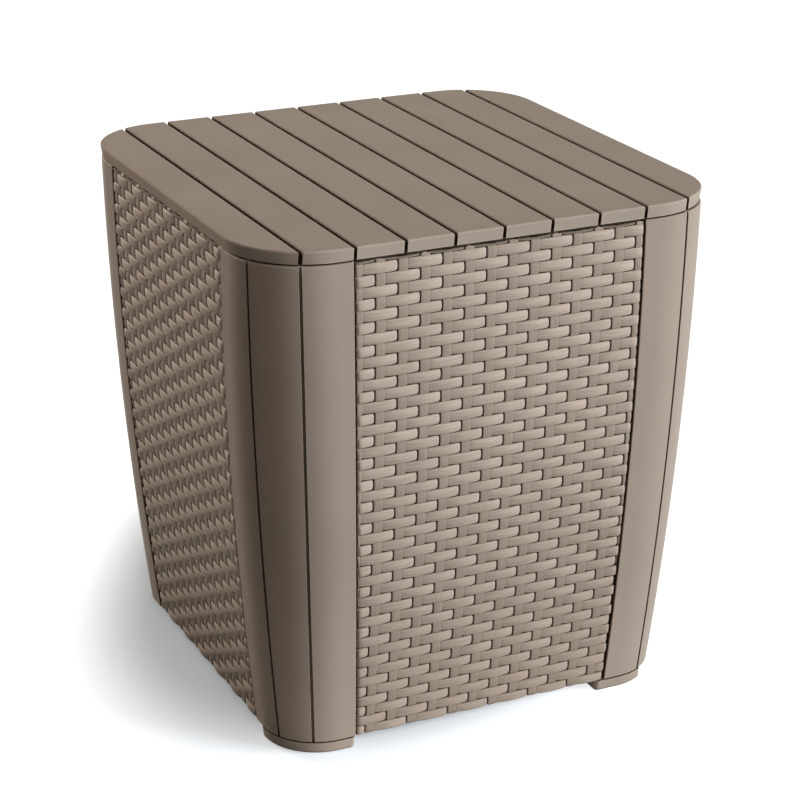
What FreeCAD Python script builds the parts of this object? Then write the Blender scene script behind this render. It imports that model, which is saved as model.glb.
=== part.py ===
import FreeCAD, Part
import math
import os

# Square storage table moulded in wicker-look resin. A slatted lid lifts off a box that
# narrows towards the ground: four quarter-round corner posts hold four side panels in
# slots, a ring ties them together round the mouth, and four corner feet carry the posts
# and the floor of the well.
# Millimetres, +Z up, origin on the ground under the centre, front towards -Y.

# Heights, from the ground up
FOOT_HEIGHT = 10.0
FOOT_SEAM = 0.8
BODY_HEIGHT = 418.2
LID_REVEAL = 1.0
LID_EDGE_HEIGHT = 10.5

# Body outline: square in plan, with sides that lean in and bow outwards
BODY_TOP_SIDE = 408.9
BODY_TAPER = 24.7
BODY_BOW = 6.2

# Rounding of the body's corners, which narrows and bows in the same way
CORNER_TOP_RADIUS = 60.2
CORNER_TAPER = 11.7
CORNER_BOW = 7.8
CORNER_STEPS = 4

# Corner posts; their edges and grooves start near gaps of the lid, shifted outwards
POST_EDGE_SLATS = 3
POST_EDGE_SHIFT = 0.8
POST_EDGE_TAPER = 9.6
POST_EDGE_BOW = 1.7
POST_EDGE_ROUND = 0.8
POST_TOP_ROUND = 2.0
POST_BASE_ROUND = 0.8
GROOVE_SLATS = 4
GROOVE_SHIFT = 0.6
GROOVE_TAPER = 15.5
GROOVE_BOW = 2.6
GROOVE_WIDTH = 2.0
GROOVE_DEPTH = 1.8
GROOVE_EDGE_ROUND = 0.8
GROOVE_RIM_TURN = 60
POST_WALL = 4.0
POST_INNER_LIP = 3.0
POST_RIB = 3.0
POST_TOP_THICKNESS = 12.0

# Side panels: a sheet set back from the posts by the depth of the woven relief
PANEL_RECESS = 4.6
PANEL_WALL = 3.0
PANEL_TONGUE = 12.0
PANEL_CLEARANCE = 0.3

# Woven relief: level straps that swell over every other upright. Heights are above the sheet,
# and each curve has STRAP_STEPS points from one upright to the next.
STRAP_PITCH = 9.45
STRAP_WIDTH = 8.4
STRAP_HEIGHT = 2.2
STRAP_SWELL = 1.3
STRAP_SINK = 1.0
STRAP_END_GAP = 1.3
STRAP_STEPS = 4
TOP_STRAP_DROP = 6.5
UPRIGHT_PITCH = 18.92

# Ring round the mouth
RING_FLANGE = 2.0
RING_WALL = 2.5
RING_DEPTH = 25.0

# Feet and floor; wide feet stand front left and back right, narrow feet at the other corners
WIDE_FOOT_SETBACK = 9.6
NARROW_FOOT_LAP = 8.0
NARROW_FOOT_PAST_GROOVE = 4.0
FOOT_LEDGE = 20.0
FOOT_DRAFT = 1.2
FOOT_SEAM_DEPTH = 2.0
FOOT_END_ROUND = 4.0
FOOT_EDGE_ROUND = 2.5
PLUG_HEIGHT = 12.0
PLUG_WALL = 3.0
FLOOR_WALL = 3.0
FLOOR_SKIRT = 5.0
FLOOR_CLEARANCE = 0.4
FLOOR_RIB = 2.5
FLOOR_RIB_PITCH = 60.0

# Lid
LID_OVERHANG = 2.0
LID_CORNER_EASE = 4.5
LID_EDGE_DRAFT = 1.8
SLAT_COUNT = 10
SLAT_GAP = 3.0
OUTER_SLAT_TRIM = 2.05
SLAT_WALL = 3.0
SLAT_EDGE_ROUND = 1.5
LID_PLATE = 3.0
LID_PLATE_CLEARANCE = 0.4
LID_RIM_DEPTH = 15.0
LID_RIM_WALL = 2.5
LID_RIM_CLEARANCE = 1.5
LID_RIB = 2.5
LID_RIB_DEPTH = 8.0
LID_RIB_SLATS = 2

# Screws
SCREW_RADIUS = 2.0
SCREW_CLEARANCE = 0.15
SCREW_HEAD_RADIUS = 4.0
SCREW_HEAD_HEIGHT = 2.6
BOSS_WALL = 2.4
LID_SCREW_OFFSET = 100.0
LID_SCREW_END = 0.5
FRAME_SCREW_LENGTH = 9.0
FLOOR_SCREW_BITE = 5.0
FOOT_SCREW_BITE = 16.0
FOOT_BOSS_HEIGHT = 24.0

# Levels and outlines worked out from the sizes above
Vector = FreeCAD.Vector
ORIGIN = Vector(0, 0, 0)
UPWARDS = Vector(0, 0, 1)
BODY_BASE_Z = FOOT_HEIGHT + FOOT_SEAM
BODY_TOP_Z = BODY_BASE_Z + BODY_HEIGHT
LID_SKIRT_Z = BODY_TOP_Z + LID_REVEAL
LID_TOP_Z = LID_SKIRT_Z + LID_EDGE_HEIGHT
LID_PLATE_Z = BODY_TOP_Z + LID_PLATE
LID_SIDE = BODY_TOP_SIDE + 2 * LID_OVERHANG
LID_RADIUS = CORNER_TOP_RADIUS + LID_OVERHANG + LID_CORNER_EASE
LID_PLATE_INSET = LID_EDGE_DRAFT + SLAT_WALL
SLAT_PITCH = (LID_SIDE + SLAT_GAP + 2 * OUTER_SLAT_TRIM) / SLAT_COUNT
BODY_HALF = BODY_TOP_SIDE / 2
BASE_HALF = BODY_HALF - BODY_TAPER
BASE_RADIUS = CORNER_TOP_RADIUS - CORNER_TAPER
POST_EDGE_HALF = POST_EDGE_SLATS * SLAT_PITCH + POST_EDGE_SHIFT
POST_EDGE_BASE = POST_EDGE_HALF - POST_EDGE_TAPER
GROOVE_HALF = GROOVE_SLATS * SLAT_PITCH + GROOVE_SHIFT
GROOVE_BASE = GROOVE_HALF - GROOVE_TAPER
SLOT_OUTER = PANEL_RECESS - PANEL_CLEARANCE
SLOT_INNER = PANEL_RECESS + PANEL_WALL + PANEL_CLEARANCE
PANEL_BACK = PANEL_RECESS + PANEL_WALL
POST_INNER = SLOT_INNER + POST_INNER_LIP
SLOT_REACH = PANEL_TONGUE + PANEL_CLEARANCE
CAVITY_REACH = SLOT_REACH + POST_RIB
SCREW_HOLE = SCREW_RADIUS + SCREW_CLEARANCE
BOSS_RADIUS = SCREW_HOLE + BOSS_WALL
FOOT_SCREW_SEAT = SCREW_HEAD_HEIGHT + FOOT_SEAM
FLOOR_PLATE_Z = BODY_BASE_Z + FLOOR_SKIRT
FLOOR_TOP_Z = FLOOR_PLATE_Z + FLOOR_WALL

# Slanting back of a post: half distance between opposite posts, taper and bow
POST_BACK_SHAPE = (
    (POST_EDGE_HALF + BODY_HALF - POST_INNER) / math.sqrt(2),
    (POST_EDGE_TAPER + BODY_TAPER) / math.sqrt(2),
    (POST_EDGE_BOW + BODY_BOW) / math.sqrt(2),
)

# Spare length that lets a cutting shape pass right through what it cuts
SPARE = 6.0
REACH = LID_SIDE


def half_width(top_half, taper, bow, level):
    """Half width, at one level, of a side that leans in by taper and bows out by bow."""
    drop = (BODY_TOP_Z - level) / BODY_HEIGHT
    return top_half - taper * drop + 4 * bow * drop * (1 - drop)


def bowed_slab(top_half, taper, bow, turn=0):
    """Slab between two bowed sides that face -X and +X, turned about Z by some degrees."""
    low = BODY_BASE_Z - SPARE
    high = BODY_TOP_Z + SPARE
    levels = (low, (low + high) / 2, high)
    right = [Vector(half_width(top_half, taper, bow, z), -REACH, z) for z in levels]
    left = [Vector(-point.x, point.y, point.z) for point in reversed(right)]
    outline = Part.Wire([
        Part.Arc(*right).toShape(),
        Part.LineSegment(right[-1], left[0]).toShape(),
        Part.Arc(*left).toShape(),
        Part.LineSegment(left[-1], right[0]).toShape(),
    ])
    slab = Part.Face(outline).extrude(Vector(0, 2 * REACH, 0))
    slab.rotate(ORIGIN, UPWARDS, turn)
    return slab


def side_slab(inset, turn=0):
    """Slab between two opposite sides of the body, each moved in by inset."""
    return bowed_slab(BODY_HALF - inset, BODY_TAPER, BODY_BOW, turn)


def panel_slab(extra, turn=0):
    """Slab as wide as the opening between two posts, widened by extra at each edge."""
    return bowed_slab(POST_EDGE_HALF + extra, POST_EDGE_TAPER, POST_EDGE_BOW, turn)


def post_back(level):
    """Distance from the middle of the table to the slanting back of a post."""
    return half_width(*POST_BACK_SHAPE, level)


def post_back_slab(extra):
    """Slab between the backs of the front left and back right posts, widened by extra."""
    top_half, taper, bow = POST_BACK_SHAPE
    return bowed_slab(top_half + extra, taper, bow, 45)


def block(low_corner, high_corner):
    """Box between two corners."""
    size = [high - low for low, high in zip(low_corner, high_corner)]
    return Part.makeBox(*size, Vector(*low_corner))


def front_left(low, high):
    """The quarter of space in front and to the left of the middle, between two levels."""
    return block((-REACH, -REACH, low), (0, 0, high))


def rounded_block(side, radius, low, high):
    """Upright square block with rounded corners, centred on the table."""
    half = side / 2
    square = block((-half, -half, low), (half, half, high))
    upright = [edge for edge in square.Edges if edge.BoundBox.ZLength > (high - low) / 2]
    return square.makeFillet(radius, upright)


def octagon(half, corner_half, low, high):
    """Upright square block whose corners are cut off at corner_half from the middle."""
    square = block((-half, -half, low), (half, half, high))
    diamond = block((-corner_half, -corner_half, low), (corner_half, corner_half, high))
    diamond.rotate(ORIGIN, UPWARDS, 45)
    return square.common(diamond)


def octagon_ring(half, corner_half, wall, low, high):
    """Upright wall along an octagon, measured over its outside."""
    inside = octagon(half - wall, corner_half - wall, low, high)
    return octagon(half, corner_half, low, high).cut(inside)


def pillar(radius, place, low, high):
    """Upright cylinder at a place in plan."""
    return Part.makeCylinder(radius, high - low, Vector(*place, low))


def on_diagonal(distance):
    """Place on the way to the front left corner, at a distance from the middle."""
    return (-distance / math.sqrt(2), -distance / math.sqrt(2))


def around(shape):
    """Four copies of a shape, a quarter turn apart, anticlockwise from above."""
    copies = []
    for quarter in range(4):
        copy = shape.copy()
        copy.rotate(ORIGIN, UPWARDS, 90 * quarter)
        copies.append(copy)
    return copies


def pan_screw(place, seat, length, direction):
    """Screw whose head lies on the far side of its seat, with a shank along direction."""
    axis = Vector(0, 0, direction)
    start = Vector(*place, seat)
    head = Part.makeCylinder(SCREW_HEAD_RADIUS, SCREW_HEAD_HEIGHT, start, axis * -1)
    shank = Part.makeCylinder(SCREW_RADIUS, length, start, axis)
    return head.fuse(shank).removeSplitter()


def corner_outline(inset, level):
    """Outline of the body's front left quarter at one level, its faces moved in by inset."""
    half = half_width(BODY_HALF - inset, BODY_TAPER, BODY_BOW, level)
    radius = half_width(CORNER_TOP_RADIUS - inset, CORNER_TAPER, CORNER_BOW, level)
    start = half - radius
    bulge = start + radius / math.sqrt(2)
    front = [Vector(0, -half, level), Vector(-start, -half, level)]
    left = [Vector(-half, -start, level), Vector(-half, 0, level)]
    middle = Vector(0, 0, level)
    return Part.Wire([
        Part.LineSegment(*front).toShape(),
        Part.Arc(front[1], Vector(-bulge, -bulge, level), left[0]).toShape(),
        Part.LineSegment(*left).toShape(),
        Part.LineSegment(left[1], middle).toShape(),
        Part.LineSegment(middle, front[0]).toShape(),
    ])


def corner_levels():
    """Levels of the outlines that shape a corner, past top and base."""
    low = BODY_BASE_Z - SPARE
    rise = (BODY_HEIGHT + 2 * SPARE) / CORNER_STEPS
    return [low + rise * step for step in range(CORNER_STEPS + 1)]


def body_corner(inset):
    """Front left quarter of the body, its faces moved in by inset, past top and base."""
    outlines = [corner_outline(inset, level) for level in corner_levels()]
    return Part.makeLoft(outlines, True, False)


def groove_outline(level):
    """Outline of the front left groove at one level: a channel with rounded rims, open outwards."""
    half = half_width(BODY_HALF, BODY_TAPER, BODY_BOW, level)
    radius = half_width(CORNER_TOP_RADIUS, CORNER_TAPER, CORNER_BOW, level)
    line = half_width(GROOVE_HALF, GROOVE_TAPER, GROOVE_BOW, level)
    start = half - radius
    turn = math.asin(max(0.0, (line - start) / radius))
    skin = Vector(-line, -start - radius * math.cos(turn), level)
    outward = Vector(-math.sin(turn), -math.cos(turn), 0)
    along = Vector(-math.cos(turn), math.sin(turn), 0)
    wall = GROOVE_WIDTH / 2
    rim_turn = math.radians(GROOVE_RIM_TURN)
    rim_low = -GROOVE_EDGE_ROUND * math.sin(rim_turn)

    def on_rim(angle):
        reach = wall + GROOVE_EDGE_ROUND * (1 - math.cos(angle))
        return reach, rim_low + GROOVE_EDGE_ROUND * math.sin(angle)

    mouth = on_rim(rim_turn)
    open_end = (mouth[0] + GROOVE_DEPTH * math.tan(rim_turn), GROOVE_DEPTH)
    profile = ((wall, -GROOVE_DEPTH), on_rim(0), on_rim(rim_turn / 2), mouth, open_end)
    left = [skin + along * reach + outward * height for reach, height in profile]
    right = [skin - along * reach + outward * height for reach, height in profile]
    edges = [Part.LineSegment(left[0], right[0]), Part.LineSegment(left[-1], right[-1])]
    for side in (left, right):
        edges.append(Part.LineSegment(side[0], side[1]))
        edges.append(Part.Arc(side[1], side[2], side[3]))
        edges.append(Part.LineSegment(side[3], side[4]))
    return Part.Wire(Part.__sortEdges__([edge.toShape() for edge in edges]))


def groove():
    """Channel along the front left groove, past top and base."""
    return Part.makeLoft([groove_outline(level) for level in corner_levels()], True, False)


def rounded_ends(corner):
    """A body corner cut to the body's height, with its outer top and base edges rounded."""
    body = corner.common(front_left(BODY_BASE_Z, BODY_TOP_Z))
    for level, radius in ((BODY_TOP_Z, POST_TOP_ROUND), (BODY_BASE_Z, POST_BASE_ROUND)):
        flat = [edge for edge in body.Edges if edge.BoundBox.ZLength < radius / 2]
        rim = [edge for edge in flat if abs(edge.CenterOfMass.z - level) < radius / 2]
        outer = [edge for edge in rim if max(edge.CenterOfMass.x, edge.CenterOfMass.y) < -SPARE]
        body = body.makeFillet(radius, outer)
    return body


def post_room(body, extra):
    """What is left of a body corner past the edges of its two panels, widened by extra."""
    return body.cut(panel_slab(extra)).cut(panel_slab(extra, 90))


def panel_sheet(outer, inner, extra):
    """Front sheet between two depths below the body's faces, reaching past the post edges."""
    sheet = side_slab(outer, 90).cut(side_slab(inner, 90)).common(panel_slab(extra))
    return sheet.common(block((-REACH, -REACH, 0), (REACH, 0, LID_TOP_Z)))


# Mouth inside the ring, set by the ring's lower edge, where panels and posts stand closest
RING_LOW_Z = BODY_TOP_Z - RING_DEPTH
MOUTH_HALF = (half_width(BODY_HALF, BODY_TAPER, BODY_BOW, RING_LOW_Z)
              - PANEL_BACK - PANEL_CLEARANCE - RING_WALL)
MOUTH_CORNER = post_back(RING_LOW_Z) - PANEL_CLEARANCE - RING_WALL

# Places of the screws at the front left corner
FRAME_SCREW_PLACE = on_diagonal(
    (post_back(BODY_TOP_Z) + BODY_HALF * math.sqrt(2) - CORNER_TOP_RADIUS * (math.sqrt(2) - 1)) / 2)
FOOT_SCREW_PLACE = on_diagonal(post_back(BODY_BASE_Z) + POST_WALL + BOSS_RADIUS - POST_WALL / 4)
FLOOR_SCREW_PLACE = on_diagonal(post_back(BODY_BASE_Z) - FOOT_LEDGE / 2)


def front_left_post():
    """Hollow quarter-round post with a slot for each panel and two grooves."""
    post = post_room(rounded_ends(body_corner(0)), 0)
    post = post.makeFillet(POST_EDGE_ROUND, [edge for edge in post.Edges if on_post_lip(edge)])
    post = post.cut(post_back_slab(0))
    cavity = post_room(body_corner(POST_WALL), CAVITY_REACH).cut(post_back_slab(POST_WALL))
    post = post.cut(cavity.common(front_left(0, BODY_TOP_Z - POST_TOP_THICKNESS)))
    slot = panel_sheet(SLOT_OUTER, SLOT_INNER, SLOT_REACH)
    for cut in (slot, groove()):
        post = post.cut(cut).cut(mirrored(cut))
    seat_side = BODY_TOP_SIDE - 2 * SLOT_OUTER
    seat_z = BODY_TOP_Z - RING_FLANGE
    post = post.cut(rounded_block(seat_side, CORNER_TOP_RADIUS - SLOT_OUTER, seat_z, LID_TOP_Z))
    boss_top = BODY_BASE_Z + FOOT_BOSS_HEIGHT
    post = post.fuse(pillar(BOSS_RADIUS, FOOT_SCREW_PLACE, BODY_BASE_Z, boss_top))
    foot_hole_top = BODY_BASE_Z + FOOT_SCREW_BITE + SCREW_HOLE
    post = post.cut(pillar(SCREW_HOLE, FOOT_SCREW_PLACE, 0, foot_hole_top))
    frame_hole_low = BODY_TOP_Z - FRAME_SCREW_LENGTH - SCREW_HOLE
    post = post.cut(pillar(SCREW_HOLE, FRAME_SCREW_PLACE, frame_hole_low, LID_TOP_Z))
    return post.removeSplitter()


def on_post_lip(edge):
    """Whether an edge of a post is where its outer face ends at a panel."""
    middle = edge.CenterOfMass
    upright = edge.BoundBox.ZLength > BODY_HEIGHT / 2
    near_skin = min(middle.x, middle.y) < -(BODY_HALF + POST_EDGE_HALF) / 2
    lip = half_width(POST_EDGE_HALF, POST_EDGE_TAPER, POST_EDGE_BOW, middle.z)
    return upright and near_skin and abs(max(middle.x, middle.y) + lip) < POST_EDGE_ROUND


def mirrored(shape):
    """Copy of a shape with front and left changed over."""
    return shape.mirror(ORIGIN, Vector(1, -1, 0))


def strap_outline(level, crest, steps):
    """Outline of one strap at a level, swollen at its crests and sunk into the sheet behind."""
    reach = half_width(POST_EDGE_HALF, POST_EDGE_TAPER, POST_EDGE_BOW, level) - STRAP_END_GAP
    sheet = half_width(BODY_HALF - PANEL_RECESS, BODY_TAPER, BODY_BOW, level)
    points = []
    for step in range(steps + 1):
        along = reach * (2 * step / steps - 1)
        swell = STRAP_SWELL * math.cos(math.pi * (along - crest) / UPRIGHT_PITCH)
        points.append(Vector(along, -sheet - STRAP_HEIGHT - swell, level))
    face = Part.BSplineCurve()
    face.interpolate(points)
    right = Vector(reach, STRAP_SINK - sheet, level)
    left = Vector(-reach, STRAP_SINK - sheet, level)
    return Part.Wire([
        face.toShape(),
        Part.LineSegment(points[-1], right).toShape(),
        Part.LineSegment(right, left).toShape(),
        Part.LineSegment(left, points[0]).toShape(),
    ])


def straps():
    """Level straps of one panel, from the top down; a last narrow one ends at the base."""
    steps = 2 * math.ceil(STRAP_STEPS * POST_EDGE_HALF / UPRIGHT_PITCH)
    middle = BODY_TOP_Z - RING_FLANGE - TOP_STRAP_DROP
    crest = UPRIGHT_PITCH / 2
    made = []
    while middle > BODY_BASE_Z:
        low = max(middle - STRAP_WIDTH / 2, BODY_BASE_Z)
        high = middle + STRAP_WIDTH / 2
        ends = [strap_outline(level, crest, steps) for level in (low, high)]
        made.append(Part.makeLoft(ends, True, True))
        crest += UPRIGHT_PITCH
        middle -= STRAP_PITCH
    return made


def front_panel():
    """Bowed sheet with woven straps in front, whose side edges are tongues in the posts."""
    sheet = panel_sheet(PANEL_RECESS, PANEL_BACK, PANEL_TONGUE)
    sheet = sheet.common(block((-REACH, -REACH, BODY_BASE_Z), (REACH, 0, BODY_TOP_Z - RING_FLANGE)))
    return sheet.multiFuse(straps())


def ring():
    """Flanged ring that lies in the tops of posts and panels and lines the mouth."""
    side = BODY_TOP_SIDE - 2 * PANEL_RECESS
    flange = rounded_block(side, CORNER_TOP_RADIUS - PANEL_RECESS, BODY_TOP_Z - RING_FLANGE, BODY_TOP_Z)
    flange = flange.cut(octagon(MOUTH_HALF, MOUTH_CORNER, RING_LOW_Z, LID_TOP_Z))
    wall_half = MOUTH_HALF + RING_WALL
    wall_corner = MOUTH_CORNER + RING_WALL
    body = flange.fuse(octagon_ring(wall_half, wall_corner, RING_WALL, RING_LOW_Z, BODY_TOP_Z))
    for hole in around(frame_screw(SCREW_CLEARANCE)):
        body = body.cut(hole)
    return body.removeSplitter()


def frame_screw(extra=0.0):
    """Countersunk screw, flush with the ring's flange, at the front left corner."""
    place = Vector(*FRAME_SCREW_PLACE, BODY_TOP_Z)
    down = Vector(0, 0, -1)
    head = Part.makeCone(SCREW_HEAD_RADIUS + extra, SCREW_RADIUS + extra, RING_FLANGE, place, down)
    shank = Part.makeCylinder(SCREW_RADIUS + extra, FRAME_SCREW_LENGTH, place, down)
    return head.fuse(shank).removeSplitter()


def foot_plan(x_limits, y_limits, inset=0.0):
    """Ground plan of a front left foot, moved in by inset, with its inner corner cut off."""
    top = BODY_BASE_Z + PLUG_HEIGHT
    ledge = post_back(BODY_BASE_Z) - FOOT_LEDGE + inset
    low_corner = (x_limits[0] + inset, y_limits[0] + inset, 0)
    high_corner = (x_limits[1] - inset, y_limits[1] - inset, top)
    return block(low_corner, high_corner).cut(octagon(REACH, ledge, 0, top))


def foot_pad(plan):
    """Part of a foot that shows: sides leaning in, ends and bottom edges rounded."""
    low = rounded_outline(2 * (BASE_HALF - FOOT_DRAFT), BASE_RADIUS - FOOT_DRAFT, 0)
    high = rounded_outline(2 * BASE_HALF, BASE_RADIUS, FOOT_HEIGHT)
    pad = Part.makeLoft([low, high], True, True).common(plan)
    upright = [edge for edge in pad.Edges if edge.BoundBox.ZLength > FOOT_HEIGHT / 2]
    pad = pad.makeFillet(FOOT_END_ROUND, [edge for edge in upright if on_foot_end(edge, plan)])
    bottom = [edge for edge in pad.Edges if edge.BoundBox.ZMax < FOOT_EDGE_ROUND / 2]
    return pad.makeFillet(FOOT_EDGE_ROUND, bottom)


def on_foot_end(edge, plan):
    """Whether an upright edge of a foot is where its outer face meets an end of its plan."""
    middle = edge.CenterOfMass
    limits = plan.BoundBox
    near = FOOT_END_ROUND / 4
    at_x_end = abs(middle.x - limits.XMax) < near or abs(middle.x - limits.XMin) < near
    at_y_end = abs(middle.y - limits.YMax) < near or abs(middle.y - limits.YMin) < near
    outside = -(middle.x + middle.y) / math.sqrt(2) > post_back(BODY_BASE_Z)
    return outside and (at_x_end or at_y_end)


def foot(x_limits, y_limits):
    """Corner shoe: pad on the ground, seat for post, panels and floor, plug for the post."""
    plan = foot_plan(x_limits, y_limits)
    body = foot_pad(plan)
    seat_plan = foot_plan(x_limits, y_limits, FOOT_SEAM_DEPTH)
    seat_half = BASE_HALF - FOOT_SEAM_DEPTH
    seat = rounded_block(2 * seat_half, BASE_RADIUS - FOOT_SEAM_DEPTH, FOOT_HEIGHT, BODY_BASE_Z)
    body = body.fuse(seat.common(seat_plan))
    plug_wall = plug(PANEL_CLEARANCE).cut(plug(PANEL_CLEARANCE + PLUG_WALL))
    body = body.fuse(plug_wall.common(seat_plan))
    boss_room = BOSS_RADIUS + PANEL_CLEARANCE
    body = body.cut(pillar(boss_room, FOOT_SCREW_PLACE, BODY_BASE_Z, BODY_BASE_Z + PLUG_HEIGHT))
    body = body.cut(pillar(SCREW_HOLE, FOOT_SCREW_PLACE, 0, BODY_BASE_Z))
    head_room = SCREW_HEAD_RADIUS + SCREW_CLEARANCE
    body = body.cut(pillar(head_room, FOOT_SCREW_PLACE, 0, FOOT_SCREW_SEAT))
    floor_hole_low = BODY_BASE_Z - FLOOR_SCREW_BITE - SCREW_HOLE
    body = body.cut(pillar(SCREW_HOLE, FLOOR_SCREW_PLACE, floor_hole_low, BODY_BASE_Z))
    return body.removeSplitter()


def feet():
    """Wide and narrow feet by turns, anticlockwise from the front left corner."""
    inner_end = -POST_EDGE_BASE
    wide = foot((-REACH, inner_end), (-REACH, inner_end - WIDE_FOOT_SETBACK))
    outer_end = -(GROOVE_BASE + NARROW_FOOT_PAST_GROOVE)
    narrow = foot((-REACH, inner_end), (outer_end, inner_end + NARROW_FOOT_LAP))
    return [around((wide, narrow)[quarter % 2])[quarter] for quarter in range(4)]


def plug(inset):
    """Upright plug that fills the open base of a post's cavity, moved in by inset."""
    outer = POST_WALL + inset
    top = BODY_BASE_Z + PLUG_HEIGHT
    body = rounded_block(2 * (BASE_HALF - outer), BASE_RADIUS - outer, BODY_BASE_Z, top)
    body = post_room(body.common(front_left(BODY_BASE_Z, top)), CAVITY_REACH + inset)
    return body.cut(post_back_slab(outer))


def floor():
    """Ribbed tray whose corners lie on the feet."""
    half = BASE_HALF - PANEL_BACK - FLOOR_CLEARANCE
    corner = post_back(BODY_BASE_Z) - FLOOR_CLEARANCE
    tray = octagon(half, corner, FLOOR_PLATE_Z, FLOOR_TOP_Z)
    tray = tray.fuse(octagon_ring(half, corner, FLOOR_RIB, BODY_BASE_Z, FLOOR_PLATE_Z))
    rib_corner = corner - FOOT_LEDGE - FLOOR_CLEARANCE
    inside = octagon(half - FLOOR_RIB, rib_corner, BODY_BASE_Z, FLOOR_PLATE_Z)
    count = int(half / FLOOR_RIB_PITCH)
    for step in range(-count, count + 1):
        left = step * FLOOR_RIB_PITCH - FLOOR_RIB / 2
        along_y = block((left, -REACH, BODY_BASE_Z), (left + FLOOR_RIB, REACH, FLOOR_PLATE_Z))
        along_x = along_y.copy()
        along_x.rotate(ORIGIN, UPWARDS, 90)
        tray = tray.fuse(along_y.fuse(along_x).common(inside))
    for boss in around(pillar(BOSS_RADIUS, FLOOR_SCREW_PLACE, BODY_BASE_Z, FLOOR_PLATE_Z)):
        tray = tray.fuse(boss)
    for hole in around(pillar(SCREW_HOLE, FLOOR_SCREW_PLACE, 0, LID_TOP_Z)):
        tray = tray.cut(hole)
    return tray.removeSplitter()


def rounded_outline(side, radius, level):
    """Closed square outline with rounded corners."""
    faces = rounded_block(side, radius, level, level + SPARE).Faces
    base = min(faces, key=lambda face: face.CenterOfMass.z)
    return base.OuterWire


def lid_blank():
    """Whole lid board, its edges leaning in towards the bottom."""
    low_side = LID_SIDE - 2 * LID_EDGE_DRAFT
    low = rounded_outline(low_side, LID_RADIUS - LID_EDGE_DRAFT, LID_SKIRT_Z)
    high = rounded_outline(LID_SIDE, LID_RADIUS, LID_TOP_Z)
    return Part.makeLoft([low, high], True, True)


def slat_middle(index):
    """X of a slat's centre line."""
    return (index - (SLAT_COUNT - 1) / 2) * SLAT_PITCH


def lid_screw_place(index, side):
    """Place of a lid screw; the outermost slats have theirs inside the rim."""
    limit = MOUTH_HALF - LID_RIM_CLEARANCE - LID_RIM_WALL - 2 * SCREW_HEAD_RADIUS
    x = max(-limit, min(limit, slat_middle(index)))
    return (x, side * LID_SCREW_OFFSET)


def lid_slat(board, index):
    """Hollow slat, open below, closed at both ends by a skirt that hides the plate."""
    middle = slat_middle(index)
    half = (SLAT_PITCH - SLAT_GAP) / 2
    strip = block((middle - half, -REACH, 0), (middle + half, REACH, LID_TOP_Z + SPARE))
    slat = board.common(strip)
    rim = [edge for edge in slat.Edges if edge.BoundBox.ZMin > LID_TOP_Z - SLAT_EDGE_ROUND / 2]
    slat = slat.makeFillet(SLAT_EDGE_ROUND, rim)
    side = LID_SIDE - 2 * LID_PLATE_INSET
    hollow = rounded_block(side, LID_RADIUS - LID_PLATE_INSET, 0, LID_TOP_Z - SLAT_WALL)
    inner_half = half - SLAT_WALL
    inner_strip = block((middle - inner_half, -REACH, 0), (middle + inner_half, REACH, LID_TOP_Z))
    plate_room = block((-REACH, -REACH, 0), (REACH, REACH, LID_PLATE_Z))
    slat = slat.cut(hollow.common(inner_strip)).cut(hollow.common(plate_room))
    for end in (-1, 1):
        place = lid_screw_place(index, end)
        slat = slat.fuse(pillar(BOSS_RADIUS, place, LID_PLATE_Z, LID_TOP_Z - SLAT_WALL))
        slat = slat.cut(pillar(SCREW_HOLE, place, 0, LID_TOP_Z - SLAT_WALL))
    return slat.removeSplitter()


def lid_frame():
    """Plate that carries the slats, with a rim that centres the lid in the mouth."""
    inset = LID_PLATE_INSET + LID_PLATE_CLEARANCE
    frame = rounded_block(LID_SIDE - 2 * inset, LID_RADIUS - inset, BODY_TOP_Z, LID_PLATE_Z)
    rim_half = MOUTH_HALF - LID_RIM_CLEARANCE
    rim_corner = MOUTH_CORNER - LID_RIM_CLEARANCE
    rim_low = BODY_TOP_Z - LID_RIM_DEPTH
    frame = frame.fuse(octagon_ring(rim_half, rim_corner, LID_RIM_WALL, rim_low, BODY_TOP_Z))
    inside = octagon(rim_half, rim_corner, BODY_TOP_Z - LID_RIB_DEPTH, BODY_TOP_Z)
    ribs = [block((-REACH, -LID_RIB / 2, 0), (REACH, LID_RIB / 2, LID_TOP_Z))]
    for side in (-1, 1):
        line = side * LID_RIB_SLATS * SLAT_PITCH
        ribs.append(block((line - LID_RIB / 2, -REACH, 0), (line + LID_RIB / 2, REACH, LID_TOP_Z)))
    for rib in ribs:
        frame = frame.fuse(rib.common(inside))
    for index in range(SLAT_COUNT):
        for end in (-1, 1):
            frame = frame.cut(pillar(SCREW_HOLE, lid_screw_place(index, end), 0, LID_TOP_Z))
    return frame.removeSplitter()


def lid_screws():
    """Two screws up into each slat."""
    length = LID_TOP_Z - SLAT_WALL - LID_SCREW_END - BODY_TOP_Z
    screws = []
    for index in range(SLAT_COUNT):
        for end in (-1, 1):
            screws.append(pan_screw(lid_screw_place(index, end), BODY_TOP_Z, length, 1))
    return screws


def floor_screw():
    """Screw down through the floor into the front left foot."""
    length = FLOOR_TOP_Z - BODY_BASE_Z + FLOOR_SCREW_BITE
    return pan_screw(FLOOR_SCREW_PLACE, FLOOR_TOP_Z, length, -1)


def foot_screw():
    """Screw up through the front left foot into its post."""
    length = BODY_BASE_Z - FOOT_SCREW_SEAT + FOOT_SCREW_BITE
    return pan_screw(FOOT_SCREW_PLACE, FOOT_SCREW_SEAT, length, 1)


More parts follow.
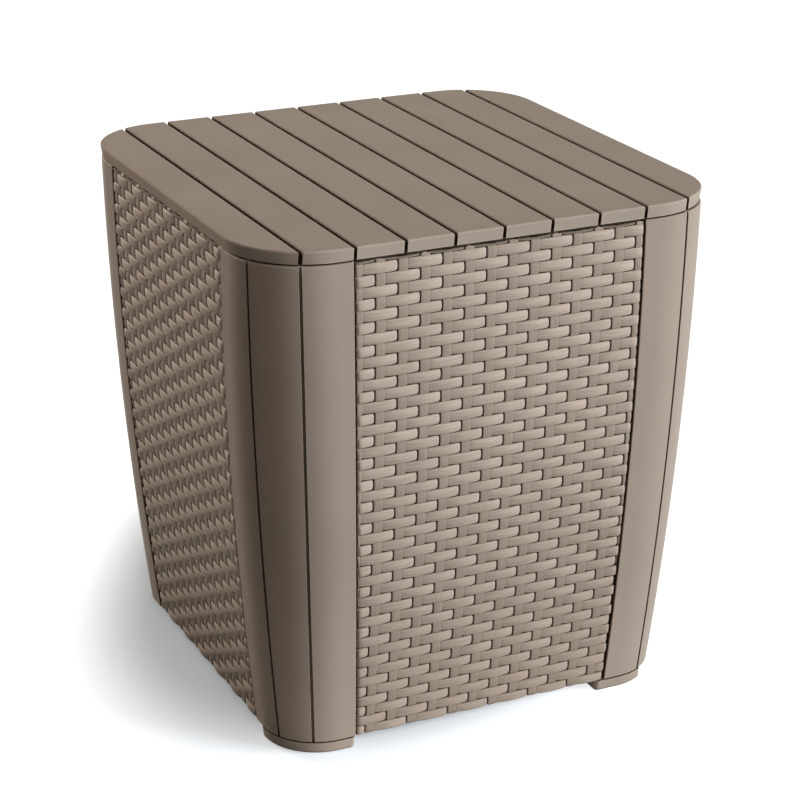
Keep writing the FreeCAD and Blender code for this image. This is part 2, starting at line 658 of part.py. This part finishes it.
def all_pieces():
    """Every piece under its name."""
    corners = ("front_left", "front_right", "back_right", "back_left")
    faces = ("front", "right", "back", "left")
    pieces = {}
    for corner, post, shoe in zip(corners, around(front_left_post()), feet()):
        pieces["post_" + corner] = post
        pieces["foot_" + corner] = shoe
    for face, panel in zip(faces, around(front_panel())):
        pieces["wicker_panel_" + face] = panel
    pieces["top_frame"] = ring()
    pieces["floor_panel"] = floor()
    pieces["frame_screws"] = Part.makeCompound(around(frame_screw()))
    pieces["floor_screws"] = Part.makeCompound(around(floor_screw()))
    pieces["foot_screws"] = Part.makeCompound(around(foot_screw()))
    board = lid_blank()
    for index in range(SLAT_COUNT):
        pieces["lid_slat_{:02d}".format(index + 1)] = lid_slat(board, index)
    pieces["lid_frame"] = lid_frame()
    pieces["lid_screws"] = Part.makeCompound(lid_screws())
    return pieces


os.makedirs("parts", exist_ok=True)
for name, piece in all_pieces().items():
    piece.exportStep(os.path.join("parts", name + ".step"))
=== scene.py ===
"""Looks of the wicker storage table: moulded weave, resin finishes, studio light and camera."""

import math

import bmesh
import bpy
from mathutils import Matrix, Vector


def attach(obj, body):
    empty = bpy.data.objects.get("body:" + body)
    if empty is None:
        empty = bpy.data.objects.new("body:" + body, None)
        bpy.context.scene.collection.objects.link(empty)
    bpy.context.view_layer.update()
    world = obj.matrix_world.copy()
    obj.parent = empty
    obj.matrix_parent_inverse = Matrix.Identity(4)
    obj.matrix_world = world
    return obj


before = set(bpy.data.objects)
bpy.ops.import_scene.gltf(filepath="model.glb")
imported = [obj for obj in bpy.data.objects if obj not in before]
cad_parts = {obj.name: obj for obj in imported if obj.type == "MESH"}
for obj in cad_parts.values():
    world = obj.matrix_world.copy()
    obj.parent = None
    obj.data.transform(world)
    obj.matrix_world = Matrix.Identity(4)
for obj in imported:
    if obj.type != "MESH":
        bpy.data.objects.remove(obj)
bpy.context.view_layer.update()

MM = 0.001

# Body of the table, in millimetres, as the solids have it. A half width starts at the top, leans in by the
# taper down to the foot of the body, and bellies out by the bow half way.
BODY_TOP = 429.0
BODY_HEIGHT = 418.2
BODY_HALF, BODY_TAPER, BODY_BOW = 204.45, 24.7, 6.2
POST_EDGE, POST_EDGE_TAPER, POST_EDGE_BOW = 126.8, 9.6, 1.7
PANEL_TOP = 427.0
PANEL_BOTTOM = 10.8
PANEL_RECESS = 4.6

# Moulded weave, in millimetres. Heights are measured from the panel's plain face.
UPRIGHT_PITCH = 18.92
UPRIGHT_COUNT = 14
UPRIGHT_FACE = 3.0
UPRIGHT_WAVE = 0.75
ROW_PITCH = 9.45
FIRST_ROW = -1
LAST_ROW = 43
FIRST_LEVEL = 420.5
STRAP_SPAN = 15.6
STRAP_HALF = 4.43
STRAP_CORNER = 1.8
STRAP_END = 2.3
STRAP_ARCH = 2.0
STRAP_CROWN = 0.7
END_CROWN = 0.3
ROOT = -1.0
POST_SEAM = 1.8
BASE_CLEARANCE = 0.1

# Points closer than this, in metres, become one: on the seam of an upright, and where a face has no width.
SEAM_MERGE = 0.000001
SLIVER_MERGE = 0.00001

# Half cross-sections from the middle outwards: the place across, as a share of the half width for a strap
# and in millimetres for an upright, and the drop below the face. The last drop goes to the root.
STRAP_SECTION = ((0.0, 0.0), (0.45, 0.0), (0.8, 0.05), (0.95, 0.25), (1.0, 0.6), (1.0, 9.0))
UPRIGHT_SECTION = ((0.0, 0.0), (2.2, 0.02), (3.6, 0.08), (3.9, 0.2), (3.95, 9.0))

# Stations of one step of a strap: the distance from its crest and the drop below its face. The left end
# runs on under an upright, and the right end stops short of the next one.
STRAP_TIP = 14.0
STRAP_STATIONS = ((-17.4, 9.0), (-17.4, 0.0), (-13.6, 0.0), (-9.0, 0.0), (-4.5, 0.0), (0.0, 0.0),
                  (4.5, 0.0), (8.5, 0.0), (11.0, 0.0), (12.8, 0.0), (13.6, 0.1), (STRAP_TIP, 0.35),
                  (STRAP_TIP, 9.0))

# Where a step is cut at a post: the distance from the cut and the drop below its face. A step that ends
# within the reach of the cut runs on to it, and one that shows less than the reach is left out.
CUT_END = ((0.0, 9.0), (0.0, 1.5), (0.9, 0.5), (2.4, 0.0))
CUT_REACH = 3.4

# Resin, colours in sRGB: painted shade in gaps, pale edges that are faint wear on every edge and a painted
# highlight on the rims, and painted shade low down, up to a height in metres.
GAP_SHADE = "33291F"
EDGE_WEAR_AND_HIGHLIGHT = "E2DACE"
LOW_SHADE = "6E6052"
LOW_SHADE_HEIGHT = 0.3

# Moulded polypropylene: its refractive index, and the low mirror share of a dull eroded face.
RESIN_IOR = 1.49
RESIN_MIRROR = 0.03

# Half sizes, in metres, past which an edge gets a pale painted highlight: none, the lid's rim in plan,
# and the posts' tops.
NO_HIGHLIGHT_RIM = (9.0, 9.0, 9.0)
LID_HIGHLIGHT_RIM = (0.2025, 0.2025, 9.0)
POST_HIGHLIGHT_RIM = (9.0, 9.0, 0.4240)

# Share of white that the floor glows with on top of its real shade: inside the oval left of the table,
# where the low share is a painted shadow, and outside it. Sizes and places on the floor are in metres,
# the turn in radians.
SHADE_GLOW = 0.152
FLOOR_GLOW = 0.88
SHADE_PLACE = (0.112, 0.202, 0.0)
SHADE_TURN = (0.0, 0.0, 0.84)
SHADE_SIZE = (0.552, 0.307, 1.0)
BOUNCE_PLACE = (-0.04, -0.25, 0.0)
BOUNCE_SIZE = (0.28, 0.11, 1.0)
FLOOR_HALF = 8.0

# Camera, fitted to the photo: lens in millimetres, place in metres, pitch and heading in degrees.
LENS = 107.925
CAMERA_PLACE = (-0.82705, -1.76975, 0.97962)
CAMERA_PITCH = 90.0 - 21.117
CAMERA_HEADING = -25.252


def narrowing(level, top, taper, bow):
    """Half width at a level, for sides that lean in and belly out a little."""
    drop = (BODY_TOP - level) / BODY_HEIGHT
    return top - taper * drop + 4.0 * bow * drop * (1.0 - drop)


def body_half(level):
    """Half the width of the body."""
    return narrowing(level, BODY_HALF, BODY_TAPER, BODY_BOW)


def post_edge(level):
    """Distance from the middle of a side to the edge of its corner posts."""
    return narrowing(level, POST_EDGE, POST_EDGE_TAPER, POST_EDGE_BOW)


def on_panel(along, level, height):
    """A point over the front panel's plain face."""
    return Vector((along, PANEL_RECESS - body_half(level) - height, level)) * MM


def inside_frame(along, level):
    """A place on the front panel, kept between the posts and off the panel's ends."""
    level = min(max(level, PANEL_BOTTOM + BASE_CLEARANCE), PANEL_TOP)
    limit = post_edge(level) - POST_SEAM
    return min(max(along, -limit), limit), level


def both_sides(section):
    """A whole row of places and drops from its half."""
    return [(-place, drop) for place, drop in reversed(section[1:])] + list(section)


def strap_half(offset):
    """Half width of a strap at a distance from its crest, with the corners of its free end rounded."""
    short = min(max(STRAP_CORNER - STRAP_TIP + offset, 0.0), STRAP_CORNER)
    return STRAP_HALF - STRAP_CORNER + math.sqrt(STRAP_CORNER ** 2 - short ** 2)


def strap_height(offset, share):
    """Height of one step's face: arched along the strap and crowned across it, lowest at its ends."""
    rise = 1.0 - (offset / STRAP_SPAN) ** 2
    return STRAP_END + STRAP_ARCH * rise + (END_CROWN + STRAP_CROWN * rise) * (1.0 - share ** 2)


def strap_columns(row, limit):
    """Stations of all the steps of one strap: place along the panel, distance from the crest, drop."""
    columns = []
    for number in range(UPRIGHT_COUNT):
        crest = (number - (UPRIGHT_COUNT - 1) / 2.0) * UPRIGHT_PITCH
        if (number + row) % 2 == 0:
            continue
        step = [(crest + offset, drop) for offset, drop in STRAP_STATIONS]
        if step[-1][0] < CUT_REACH - limit or step[0][0] > limit - CUT_REACH:
            continue
        kept = [(along, drop) for along, drop in step if abs(along) < limit - CUT_END[-1][0]]
        if step[0][0] < CUT_REACH - limit:
            kept = [(short - limit, drop) for short, drop in CUT_END] + kept
        if step[-1][0] > limit - CUT_REACH:
            kept = kept + [(limit - short, drop) for short, drop in reversed(CUT_END)]
        columns += [(along, along - crest, drop) for along, drop in kept]
    return columns


def lay_strap(mesh, grain, row):
    """One level strap: it steps over every other upright, and between the steps it lies in the panel."""
    middle = FIRST_LEVEL - row * ROW_PITCH
    columns = strap_columns(row, post_edge(middle) - POST_SEAM)
    section = both_sides(STRAP_SECTION)
    sheet = bmesh.ops.create_grid(mesh, x_segments=len(columns) - 1, y_segments=len(section) - 1, size=1.0)
    marks = {}
    for point in sheet["verts"]:
        along, offset, end_drop = columns[round((point.co.x + 1.0) / 2.0 * (len(columns) - 1))]
        share, side_drop = section[round((point.co.y + 1.0) / 2.0 * (len(section) - 1))]
        across = share * strap_half(offset)
        height = max(strap_height(offset, across / STRAP_HALF) - end_drop - side_drop, ROOT)
        along, level = inside_frame(along, middle + across)
        point.co = on_panel(along, level, height)
        marks[point] = (along * MM + 0.37 * row, across * MM + 0.013 * row)
    write_grain(grain, sheet["verts"], marks)


def stand_upright(mesh, grain, number):
    """One upright strip, seen in the windows between the level straps, with its back closed in the panel."""
    middle = (number - (UPRIGHT_COUNT - 1) / 2.0) * UPRIGHT_PITCH
    section = both_sides(UPRIGHT_SECTION)
    section.append(section[0])
    steps = 3 * (LAST_ROW - FIRST_ROW + 1)
    columns = len(section) - 1
    sheet = bmesh.ops.create_grid(mesh, x_segments=columns, y_segments=steps + 2, size=1.0)
    marks = {}
    for point in sheet["verts"]:
        across, drop = section[round((point.co.x + 1.0) / 2.0 * columns)]
        step = round((point.co.y + 1.0) / 2.0 * (steps + 2)) - 1
        share = min(max(step / steps, 0.0), 1.0)
        level = PANEL_BOTTOM + (PANEL_TOP - PANEL_BOTTOM) * share
        row = (FIRST_LEVEL - level) / ROW_PITCH
        swell = UPRIGHT_WAVE * math.cos(math.pi * (row - number))
        height = max(UPRIGHT_FACE + swell - drop, ROOT)
        under_post = abs(middle) - UPRIGHT_SECTION[-1][0] > post_edge(level) - POST_SEAM
        if under_post or step < 0 or step > steps:
            height = ROOT
        along, level = inside_frame(middle + across, level)
        point.co = on_panel(along, level, height)
        marks[point] = (level * MM + 0.29 * number, across * MM + 0.017 * number)
        for face in point.link_faces:
            face.material_index = 1
    write_grain(grain, sheet["verts"], marks)
    bmesh.ops.remove_doubles(mesh, verts=sheet["verts"], dist=SEAM_MERGE)


def write_grain(grain, points, places):
    """Map of the strap's own length and width, in metres, which its grain follows."""
    for point in points:
        for corner in point.link_loops:
            corner[grain].uv = places[point]


def weave_relief(name, turn):
    """The woven relief of one side panel, made on the front side and turned to its own."""
    mesh = bmesh.new()
    grain = mesh.loops.layers.uv.new("strap_grain")
    for row in range(FIRST_ROW, LAST_ROW + 1):
        lay_strap(mesh, grain, row)
    for number in range(UPRIGHT_COUNT):
        stand_upright(mesh, grain, number)
    bmesh.ops.dissolve_degenerate(mesh, dist=SLIVER_MERGE, edges=mesh.edges)
    rims = [edge for edge in mesh.edges if edge.is_boundary]
    bmesh.ops.holes_fill(mesh, edges=rims, sides=0)
    bmesh.ops.recalc_face_normals(mesh, faces=mesh.faces)
    bmesh.ops.rotate(mesh, cent=(0.0, 0.0, 0.0), matrix=Matrix.Rotation(math.radians(turn), 3, "Z"),
                     verts=mesh.verts)
    for face in mesh.faces:
        face.smooth = True
    data = bpy.data.meshes.new(name)
    mesh.to_mesh(data)
    mesh.free()
    relief = bpy.data.objects.new(name, data)
    bpy.context.scene.collection.objects.link(relief)
    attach(relief, "cabinet")
    return relief


def linear(code):
    """Linear colour of an sRGB hex value."""
    parts = [int(code[i:i + 2], 16) / 255.0 for i in (0, 2, 4)]
    return tuple(c / 12.92 if c <= 0.04045 else ((c + 0.055) / 1.055) ** 2.4 for c in parts) + (1.0,)


def add(tree, kind, settings, inputs):
    """One node with its settings; an input is a value or the output that feeds it."""
    made = tree.nodes.new(kind)
    for name, value in settings.items():
        setattr(made, name, value)
    for name, value in inputs.items():
        if isinstance(value, bpy.types.NodeSocket):
            tree.links.new(value, made.inputs[name])
        else:
            made.inputs[name].default_value = value
    return made


def new_material(name):
    """An empty material and its node tree."""
    material = bpy.data.materials.new(name)
    material.use_nodes = True
    material.node_tree.nodes.clear()
    return material, material.node_tree


def shaded_gaps(tree, colour, reach, least, most):
    """Painted shade in narrow gaps: the colour goes down where other faces are closer than the reach."""
    hidden = add(tree, "ShaderNodeAmbientOcclusion", {"samples": 6}, {"Distance": reach})
    clear = add(tree, "ShaderNodeMapRange", {}, {
        "Value": hidden.outputs["AO"], "From Min": least, "From Max": most})
    return add(tree, "ShaderNodeMix", {"data_type": "RGBA"}, {
        0: clear.outputs["Result"], 6: linear(GAP_SHADE), 7: colour})


def highlit_rim(tree, place, rim):
    """Share of the pale edge at a place: faint wear everywhere, and a painted highlight where a coordinate
    passes the rim, in metres.
    """
    size = add(tree, "ShaderNodeVectorMath", {"operation": "ABSOLUTE"}, {0: place})
    share = add(tree, "ShaderNodeVectorMath", {"operation": "DIVIDE"}, {0: size.outputs["Vector"], 1: rim})
    parts = add(tree, "ShaderNodeSeparateXYZ", {}, {"Vector": share.outputs["Vector"]})
    plan = add(tree, "ShaderNodeMath", {"operation": "MAXIMUM"}, {
        0: parts.outputs["X"], 1: parts.outputs["Y"]})
    top = add(tree, "ShaderNodeMath", {"operation": "MAXIMUM"}, {
        0: plan.outputs["Value"], 1: parts.outputs["Z"]})
    return add(tree, "ShaderNodeMapRange", {}, {
        "Value": top.outputs["Value"], "From Min": 1.0, "From Max": 1.005, "To Min": 0.06, "To Max": 1.0})


def moulded_resin(name, light, dark, cloud_mm, grit_mm, gloss, shade_mm=6.0, rim=NO_HIGHLIGHT_RIM,
                  mirror=RESIN_MIRROR):
    """Polypropylene, injection moulded in a spark-eroded tool: an even satin face with faint clouds
    in its colour, a fine grit that is drawn coarse enough to show, paler edges that are faint wear on
    every edge and a painted highlight along the rim, and painted shade in the gaps."""
    material, tree = new_material(name)
    place = add(tree, "ShaderNodeTexCoord", {}, {})
    cloud = add(tree, "ShaderNodeTexNoise", {}, {
        "Vector": place.outputs["Object"], "Scale": 1000.0 / cloud_mm, "Detail": 3.0, "Roughness": 0.55})
    grit = add(tree, "ShaderNodeTexNoise", {}, {
        "Vector": place.outputs["Object"], "Scale": 1000.0 / grit_mm, "Detail": 2.0})
    tone = add(tree, "ShaderNodeMapRange", {}, {
        "Value": cloud.outputs["Fac"], "From Min": 0.3, "From Max": 0.7})
    colour = add(tree, "ShaderNodeMix", {"data_type": "RGBA"}, {
        0: tone.outputs["Result"], 6: linear(dark), 7: linear(light)})
    rounded = add(tree, "ShaderNodeBevel", {"samples": 4}, {"Radius": 0.0012})
    true_face = add(tree, "ShaderNodeNewGeometry", {}, {})
    facing = add(tree, "ShaderNodeVectorMath", {"operation": "DOT_PRODUCT"}, {
        0: rounded.outputs["Normal"], 1: true_face.outputs["Normal"]})
    edge = add(tree, "ShaderNodeMapRange", {}, {
        "Value": facing.outputs["Value"], "From Min": 0.99, "From Max": 0.88, "To Max": 0.6})
    # Painted highlight: past the rim the pale edge is at full strength, elsewhere it is faint wear.
    highlight_share = highlit_rim(tree, place.outputs["Object"], rim)
    wear_and_highlight = add(tree, "ShaderNodeMath", {"operation": "MULTIPLY"}, {
        0: edge.outputs["Result"], 1: highlight_share.outputs["Result"]})
    # Painted shade: darker where other faces come close, in gaps, grooves and seams.
    gap_shaded = shaded_gaps(tree, colour.outputs[2], shade_mm * MM, 0.45, 0.98)
    shaded_and_highlit = add(tree, "ShaderNodeMix", {"data_type": "RGBA"}, {
        0: wear_and_highlight.outputs["Value"], 6: gap_shaded.outputs[2], 7: linear(EDGE_WEAR_AND_HIGHLIGHT)})
    shine = add(tree, "ShaderNodeMapRange", {}, {
        "Value": grit.outputs["Fac"], "From Min": 0.3, "From Max": 0.7,
        "To Min": gloss - 0.03, "To Max": gloss + 0.04})
    relief = add(tree, "ShaderNodeBump", {}, {
        "Height": grit.outputs["Fac"], "Strength": 0.25, "Distance": 0.00008})
    surface = add(tree, "ShaderNodeBsdfPrincipled", {}, {
        "Base Color": shaded_and_highlit.outputs[2], "Roughness": shine.outputs["Result"], "IOR": RESIN_IOR,
        "Specular IOR Level": mirror, "Normal": relief.outputs["Normal"]})
    add(tree, "ShaderNodeOutputMaterial", {}, {"Surface": surface.outputs["BSDF"]})
    return material


def moulded_wicker(name, light, dark):
    """Polypropylene, moulded as flat woven straps: long fine grain along every strap, a satin sheen
    that breaks on the grain, small differences of tone from strap to strap, painted shade in the gaps
    and painted shade that darkens it towards the floor."""
    material, tree = new_material(name)
    place = add(tree, "ShaderNodeUVMap", {"uv_map": "strap_grain"}, {})
    # Grain lines are 1.6 mm wide and 30 mm long, drawn wider than the real 0.5 mm so that they show.
    stretched = add(tree, "ShaderNodeMapping", {}, {
        "Vector": place.outputs["UV"], "Scale": (1000.0 / 30.0, 1000.0 / 1.6, 1.0)})
    grain = add(tree, "ShaderNodeTexNoise", {"noise_dimensions": "2D"}, {
        "Vector": stretched.outputs["Vector"], "Scale": 1.0, "Detail": 3.0, "Roughness": 0.6})
    # Tone drifts over about 45 mm, the length of one strap's step over an upright and back.
    drift = add(tree, "ShaderNodeTexNoise", {"noise_dimensions": "2D"}, {
        "Vector": place.outputs["UV"], "Scale": 1000.0 / 45.0, "Detail": 2.0})
    lines = add(tree, "ShaderNodeMath", {"operation": "MULTIPLY"}, {0: grain.outputs["Fac"], 1: 0.6})
    mixed = add(tree, "ShaderNodeMath", {"operation": "MULTIPLY_ADD"}, {
        0: drift.outputs["Fac"], 1: 0.4, 2: lines.outputs["Value"]})
    tone = add(tree, "ShaderNodeMapRange", {}, {
        "Value": mixed.outputs["Value"], "From Min": 0.32, "From Max": 0.68})
    colour = add(tree, "ShaderNodeMix", {"data_type": "RGBA"}, {
        0: tone.outputs["Result"], 6: linear(dark), 7: linear(light)})
    where = add(tree, "ShaderNodeTexCoord", {}, {})
    height = add(tree, "ShaderNodeSeparateXYZ", {}, {"Vector": where.outputs["Object"]})
    # Painted shade: the colour darkens towards the floor, up to the height.
    low_shade = add(tree, "ShaderNodeMapRange", {"interpolation_type": "SMOOTHSTEP"}, {
        "Value": height.outputs["Z"], "From Min": 0.0, "From Max": LOW_SHADE_HEIGHT, "To Min": 0.3,
        "To Max": 0.0})
    low_shaded = add(tree, "ShaderNodeMix", {"data_type": "RGBA"}, {
        0: low_shade.outputs["Result"], 6: colour.outputs[2], 7: linear(LOW_SHADE)})
    # Painted shade in the gaps between straps and uprights.
    gap_shaded = shaded_gaps(tree, low_shaded.outputs[2], 0.0025, 0.15, 0.68)
    shine = add(tree, "ShaderNodeMapRange", {}, {
        "Value": grain.outputs["Fac"], "From Min": 0.3, "From Max": 0.7, "To Min": 0.4, "To Max": 0.52})
    relief = add(tree, "ShaderNodeBump", {}, {
        "Height": grain.outputs["Fac"], "Strength": 0.5, "Distance": 0.0002})
    surface = add(tree, "ShaderNodeBsdfPrincipled", {}, {
        "Base Color": gap_shaded.outputs[2], "Roughness": shine.outputs["Result"], "IOR": RESIN_IOR,
        "Specular IOR Level": RESIN_MIRROR, "Normal": relief.outputs["Normal"]})
    add(tree, "ShaderNodeOutputMaterial", {}, {"Surface": surface.outputs["BSDF"]})
    return material


def plated_steel(name):
    """Zinc-plated steel screws, tumbled in a barrel: grey metal with a soft, uneven shine."""
    material, tree = new_material(name)
    place = add(tree, "ShaderNodeTexCoord", {}, {})
    # Plating blotches about 2 mm across.
    blotch = add(tree, "ShaderNodeTexNoise", {}, {
        "Vector": place.outputs["Object"], "Scale": 1000.0 / 2.0, "Detail": 3.0})
    colour = add(tree, "ShaderNodeMix", {"data_type": "RGBA"}, {
        0: blotch.outputs["Fac"], 6: linear("86888B"), 7: linear("AEB0B2")})
    shine = add(tree, "ShaderNodeMapRange", {}, {
        "Value": blotch.outputs["Fac"], "To Min": 0.25, "To Max": 0.45})
    surface = add(tree, "ShaderNodeBsdfPrincipled", {}, {
        "Base Color": colour.outputs[2], "Roughness": shine.outputs["Result"], "Metallic": 1.0})
    add(tree, "ShaderNodeOutputMaterial", {}, {"Surface": surface.outputs["BSDF"]})
    return material


def shown_rays(tree):
    """1 for what the camera sees, straight on, in a gloss or through glass, and 0 for light on the table."""
    path = add(tree, "ShaderNodeLightPath", {}, {})
    seen = add(tree, "ShaderNodeMath", {"operation": "MAXIMUM"}, {
        0: path.outputs["Is Camera Ray"], 1: path.outputs["Is Glossy Ray"]})
    seen_too = add(tree, "ShaderNodeMath", {"operation": "MAXIMUM"}, {
        0: seen.outputs["Value"], 1: path.outputs["Is Transmission Ray"]})
    return seen_too.outputs["Value"]


def studio_floor(name):
    """Pale matt paper sweep: white to the camera away from the table, and near it shaded both by real light
    and by a painted shadow, its glow cut down in an oval. What it throws back at the table is held down,
    as black cloth under the table's edge does in a studio."""
    material, tree = new_material(name)
    place = add(tree, "ShaderNodeTexCoord", {}, {})
    oval = add(tree, "ShaderNodeMapping", {"vector_type": "TEXTURE"}, {
        "Vector": place.outputs["Object"], "Location": SHADE_PLACE, "Rotation": SHADE_TURN,
        "Scale": SHADE_SIZE})
    away = add(tree, "ShaderNodeVectorMath", {"operation": "LENGTH"}, {0: oval.outputs["Vector"]})
    # Painted shadow: the glow drops to its low share inside the oval.
    glow = add(tree, "ShaderNodeMapRange", {"interpolation_type": "SMOOTHSTEP"}, {
        "Value": away.outputs["Value"], "From Min": 0.7, "From Max": 1.0, "To Min": SHADE_GLOW,
        "To Max": FLOOR_GLOW})
    paper = add(tree, "ShaderNodeBsdfDiffuse", {}, {"Color": linear("D2E2F2")})
    side = add(tree, "ShaderNodeSeparateXYZ", {}, {"Vector": place.outputs["Object"]})
    right = add(tree, "ShaderNodeMapRange", {"interpolation_type": "SMOOTHSTEP"}, {
        "Value": side.outputs["X"], "From Min": -0.04, "From Max": 0.16, "To Max": FLOOR_GLOW})
    near = add(tree, "ShaderNodeMath", {"operation": "MAXIMUM"}, {
        0: glow.outputs["Result"], 1: right.outputs["Result"]})
    range_out = add(tree, "ShaderNodeVectorMath", {"operation": "LENGTH"}, {0: place.outputs["Object"]})
    far = add(tree, "ShaderNodeMapRange", {"interpolation_type": "SMOOTHSTEP"}, {
        "Value": range_out.outputs["Value"], "From Min": 0.7, "From Max": 1.6})
    level = add(tree, "ShaderNodeMath", {"operation": "MAXIMUM"}, {
        0: near.outputs["Value"], 1: far.outputs["Result"]})
    white = add(tree, "ShaderNodeEmission", {}, {
        "Color": linear("FFFFFF"), "Strength": level.outputs["Value"]})
    lit = add(tree, "ShaderNodeAddShader", {}, {0: paper.outputs["BSDF"], 1: white.outputs["Emission"]})
    front = add(tree, "ShaderNodeMapping", {"vector_type": "TEXTURE"}, {
        "Vector": place.outputs["Object"], "Location": BOUNCE_PLACE, "Scale": BOUNCE_SIZE})
    reach = add(tree, "ShaderNodeVectorMath", {"operation": "LENGTH"}, {0: front.outputs["Vector"]})
    bare = add(tree, "ShaderNodeMapRange", {"interpolation_type": "SMOOTHSTEP"}, {
        "Value": reach.outputs["Value"], "From Min": 0.6, "From Max": 1.0})
    bounce = add(tree, "ShaderNodeMix", {"data_type": "RGBA"}, {
        0: bare.outputs["Result"], 6: linear("F2F2F2"), 7: linear("504E4C")})
    cloth = add(tree, "ShaderNodeBsdfDiffuse", {}, {"Color": bounce.outputs[2]})
    both = add(tree, "ShaderNodeMixShader", {}, {
        0: shown_rays(tree), 1: cloth.outputs["BSDF"], 2: lit.outputs["Shader"]})
    add(tree, "ShaderNodeOutputMaterial", {}, {"Surface": both.outputs["Shader"]})
    return material


def softbox(name, direction, distance, size, watts, tint, aim, spread):
    """A square lamp that stands off the table in a direction and looks at a height on its axis."""
    lamp = bpy.data.lights.new(name, "AREA")
    lamp.shape = "SQUARE"
    lamp.size = size
    lamp.spread = math.radians(spread)
    lamp.energy = watts
    lamp.color = linear(tint)[:3]
    stand = bpy.data.objects.new(name, lamp)
    away = Vector(direction).normalized()
    stand.location = Vector((0.0, 0.0, aim)) + away * distance
    stand.rotation_euler = away.to_track_quat("Z", "Y").to_euler()
    bpy.context.scene.collection.objects.link(stand)
    return stand


# Finishes: light and dark tone, clouds and grit in millimetres, roughness, reach of the painted gap shade in
# millimetres, rim of the painted edge highlight and mirror share. The lid is the dullest of the pieces.
lid_resin = moulded_resin("polypropylene_lid_satin", "AEA49A", "A89E94", 90.0, 1.6, 0.52, 12.0, LID_HIGHLIGHT_RIM,
                          mirror=0.004)
post_resin = moulded_resin("polypropylene_post_satin", "A5998F", "9F948A", 80.0, 1.6, 0.48, 5.0, POST_HIGHLIGHT_RIM)
foot_resin = moulded_resin("polypropylene_foot_satin", "A89D92", "A2978C", 60.0, 1.6, 0.46, 2.0)
inner_resin = moulded_resin("polypropylene_inner_matt", "8D8277", "857A6F", 70.0, 2.2, 0.58)
plate_resin = moulded_resin("polypropylene_lid_plate_matt", "5E544B", "564D45", 70.0, 2.2, 0.6)
wicker_resin = moulded_wicker("polypropylene_wicker_straps", "BFB4A9", "A99E93")
# The uprights take a darker copy of the strap finish: painted shade for their lower faces between the
# straps.
shaded_upright_resin = moulded_wicker("polypropylene_wicker_uprights_shaded", "A59A8F", "978C82")
panel_resin = moulded_resin("polypropylene_panel_plain", "92877B", "8B8075", 60.0, 1.6, 0.5)
screw_steel = plated_steel("steel_zinc_plated")

# The finish of each node by the start of its name; the first that fits holds.
FINISHES = (("lid_slat", lid_resin), ("lid_frame", plate_resin), ("post", post_resin),
            ("foot_screws", screw_steel), ("foot", foot_resin), ("wicker_panel", panel_resin),
            ("top_frame", inner_resin), ("floor_panel", inner_resin), ("lid_screws", screw_steel),
            ("frame_screws", screw_steel), ("floor_screws", screw_steel))

for name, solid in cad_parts.items():
    finish = next(resin for start, resin in FINISHES if name.startswith(start))
    solid.data.materials.clear()
    solid.data.materials.append(finish)

for side, turn in (("front", 0.0), ("right", 90.0), ("back", 180.0), ("left", 270.0)):
    relief = weave_relief("weave_" + side, turn)
    relief.data.materials.append(wicker_resin)
    relief.data.materials.append(shaded_upright_resin)

# Studio floor, three lamps and a white surround that lights the table only dimly.
floor_mesh = bmesh.new()
bmesh.ops.create_grid(floor_mesh, x_segments=1, y_segments=1, size=FLOOR_HALF)
floor_data = bpy.data.meshes.new("studio_floor")
floor_mesh.to_mesh(floor_data)
floor_mesh.free()
floor_data.materials.append(studio_floor("studio_floor_matt"))
studio = bpy.data.objects.new("studio_floor", floor_data)
bpy.context.scene.collection.objects.link(studio)

softbox("key_right", (0.766, -0.643, 0.26), 6.0, 3.0, 432.0, "FFFEFD", 0.22, 180.0)
softbox("edge_left", (-0.36, 0.89, 0.25), 3.6, 1.4, 7.6, "FFEEDC", 0.48, 34.0)
softbox("fill_front", (-0.25, -0.85, 0.50), 3.0, 1.6, 2.2, "FFF4EA", 0.50, 42.0)

world = bpy.data.worlds.new("studio_world")
world.use_nodes = True
bpy.context.scene.world = world
sky = world.node_tree
sky.nodes.clear()
dim = add(sky, "ShaderNodeBackground", {}, {"Color": linear("ECD9C4"), "Strength": 0.06})
white = add(sky, "ShaderNodeBackground", {}, {"Color": linear("FFFFFF"), "Strength": 1.0})
both = add(sky, "ShaderNodeMixShader", {}, {
    0: shown_rays(sky), 1: dim.outputs["Background"], 2: white.outputs["Background"]})
add(sky, "ShaderNodeOutputWorld", {}, {"Surface": both.outputs["Shader"]})

camera_data = bpy.data.cameras.new("photo_camera")
camera_data.lens = LENS
camera_data.sensor_width = 36.0
camera = bpy.data.objects.new("photo_camera", camera_data)
camera.location = CAMERA_PLACE
camera.rotation_euler = (math.radians(CAMERA_PITCH), 0.0, math.radians(CAMERA_HEADING))
bpy.context.scene.collection.objects.link(camera)
bpy.context.scene.camera = camera
bpy.context.scene.view_settings.view_transform = "Standard"
